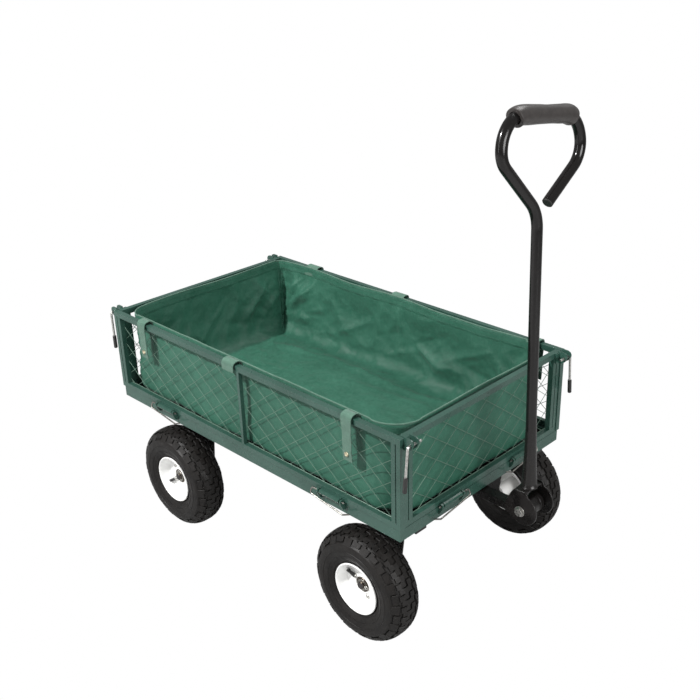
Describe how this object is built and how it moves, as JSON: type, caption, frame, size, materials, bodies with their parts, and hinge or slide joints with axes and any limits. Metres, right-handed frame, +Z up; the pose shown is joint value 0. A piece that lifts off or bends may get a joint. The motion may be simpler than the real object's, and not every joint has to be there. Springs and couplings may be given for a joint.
{
  "type": "garden cart",
  "caption": "Steel mesh garden cart with drop-down sides, a fabric liner, pneumatic wheels, a steered front axle and a fold-down pull handle with a loop grip.",
  "frame": {"origin": "on the ground, under the middle of the cart's overall box", "axes": "+X towards the pull handle, +Y to the cart's left side, +Z up"},
  "size_m": [1.1439, 0.606, 1.1303],
  "materials": {
    "green_frame": "satin grey-green powder coat",
    "wire_mesh": "grey-green coated wire",
    "black_steel": "semi-gloss black paint",
    "handle_steel": "gloss black paint",
    "zinc": "bright zinc plate",
    "tyre": "matte black-brown rubber with block tread",
    "rim": "gloss white paint",
    "foam": "matte grey foam",
    "vinyl": "black moulded vinyl",
    "liner": "green woven poly fabric",
    "strap": "grey-green webbing"
  },
  "bodies": {
    "base": {"bed_frame": "green_frame", "deck_mesh": "wire_mesh", "undercarriage": "black_steel", "rear_axle_frame": "black_steel", "liner": "liner", "kingpin_bolt": "zinc", "kingpin_nut": "zinc", "kingpin_washer": "vinyl", "right_hinge_pin_1": "zinc", "right_hinge_pin_2": "zinc", "left_hinge_pin_1": "zinc", "left_hinge_pin_2": "zinc", "front_hinge_pin_1": "zinc", "front_hinge_pin_2": "zinc", "rear_hinge_pin_1": "zinc", "rear_hinge_pin_2": "zinc", "cotter_pin_rear_left": "zinc", "cotter_pin_rear_right": "zinc"},
    "steering": {"steering_frame": "black_steel", "front_axle_left": "black_steel", "front_axle_right": "black_steel", "tongue": "black_steel", "handle_bolt": "zinc", "handle_bolt_nut": "zinc", "cotter_pin_front_left": "zinc", "cotter_pin_front_right": "zinc"},
    "handle": {"yoke": "black_steel", "handle_tube": "handle_steel", "handle_grip": "foam", "handle_end_plug": "vinyl"},
    "wheel_front_left": {"tyre_front_left": "tyre", "rim_front_left": "rim"},
    "wheel_front_right": {"tyre_front_right": "tyre", "rim_front_right": "rim"},
    "wheel_rear_left": {"tyre_rear_left": "tyre", "rim_rear_left": "rim"},
    "wheel_rear_right": {"tyre_rear_right": "tyre", "rim_rear_right": "rim"},
    "panel_right": {"right_panel_frame": "green_frame", "right_panel_mesh": "wire_mesh", "right_strap_rear": "strap", "right_strap_middle": "strap", "right_strap_front": "strap"},
    "panel_left": {"left_panel_frame": "green_frame", "left_panel_mesh": "wire_mesh", "left_strap_rear": "strap", "left_strap_middle": "strap", "left_strap_front": "strap"},
    "panel_front": {"front_panel_frame": "green_frame", "front_panel_mesh": "wire_mesh"},
    "panel_rear": {"rear_panel_frame": "green_frame", "rear_panel_mesh": "wire_mesh"},
    "latch_front_left": {"latch_rod_front_left": "zinc", "latch_tip_front_left": "vinyl"},
    "latch_front_right": {"latch_rod_front_right": "zinc", "latch_tip_front_right": "vinyl"},
    "latch_rear_left": {"latch_rod_rear_left": "zinc", "latch_tip_rear_left": "vinyl"},
    "latch_rear_right": {"latch_rod_rear_right": "zinc", "latch_tip_rear_right": "vinyl"}
  },
  "joints": [
    {"name": "steer", "type": "hinge", "parent": "base", "child": "steering", "pos_m": [0.306, 0, 0.268], "axis": [0, 0, 1], "range_deg": [-35, 35]},
    {"name": "handle_fold", "type": "hinge", "parent": "steering", "child": "handle", "pos_m": [0.531, 0, 0.296], "axis": [0, 1, 0], "range_deg": [0, 105]},
    {"name": "roll_front_left", "type": "hinge", "parent": "steering", "child": "wheel_front_left", "pos_m": [0.306, 0.2615, 0.13], "axis": [0, 1, 0], "continuous": true},
    {"name": "roll_front_right", "type": "hinge", "parent": "steering", "child": "wheel_front_right", "pos_m": [0.306, -0.2615, 0.13], "axis": [0, 1, 0], "continuous": true},
    {"name": "roll_rear_left", "type": "hinge", "parent": "base", "child": "wheel_rear_left", "pos_m": [-0.339, 0.2615, 0.13], "axis": [0, 1, 0], "continuous": true},
    {"name": "roll_rear_right", "type": "hinge", "parent": "base", "child": "wheel_rear_right", "pos_m": [-0.339, -0.2615, 0.13], "axis": [0, 1, 0], "continuous": true},
    {"name": "drop_right", "type": "hinge", "parent": "base", "child": "panel_right", "pos_m": [-0.064, -0.2835, 0.322], "axis": [1, 0, 0], "range_deg": [0, 145]},
    {"name": "drop_left", "type": "hinge", "parent": "base", "child": "panel_left", "pos_m": [-0.064, 0.2835, 0.322], "axis": [-1, 0, 0], "range_deg": [0, 145]},
    {"name": "drop_front", "type": "hinge", "parent": "base", "child": "panel_front", "pos_m": [0.4235, 0, 0.322], "axis": [0, 1, 0], "range_deg": [0, 20]},
    {"name": "drop_rear", "type": "hinge", "parent": "base", "child": "panel_rear", "pos_m": [-0.5515, 0, 0.322], "axis": [0, -1, 0], "range_deg": [0, 170]},
    {"name": "latch_front_left_turn", "type": "hinge", "parent": "panel_front", "child": "latch_front_left", "pos_m": [0.436, 0.25, 0.517], "axis": [0, -1, 0], "range_deg": [0, 165]},
    {"name": "latch_front_right_turn", "type": "hinge", "parent": "panel_front", "child": "latch_front_right", "pos_m": [0.436, -0.25, 0.517], "axis": [0, -1, 0], "range_deg": [0, 165]},
    {"name": "latch_rear_left_turn", "type": "hinge", "parent": "panel_rear", "child": "latch_rear_left", "pos_m": [-0.564, 0.25, 0.517], "axis": [0, 1, 0], "range_deg": [0, 165]},
    {"name": "latch_rear_right_turn", "type": "hinge", "parent": "panel_rear", "child": "latch_rear_right", "pos_m": [-0.564, -0.25, 0.517], "axis": [0, 1, 0], "range_deg": [0, 165]}
  ]
}
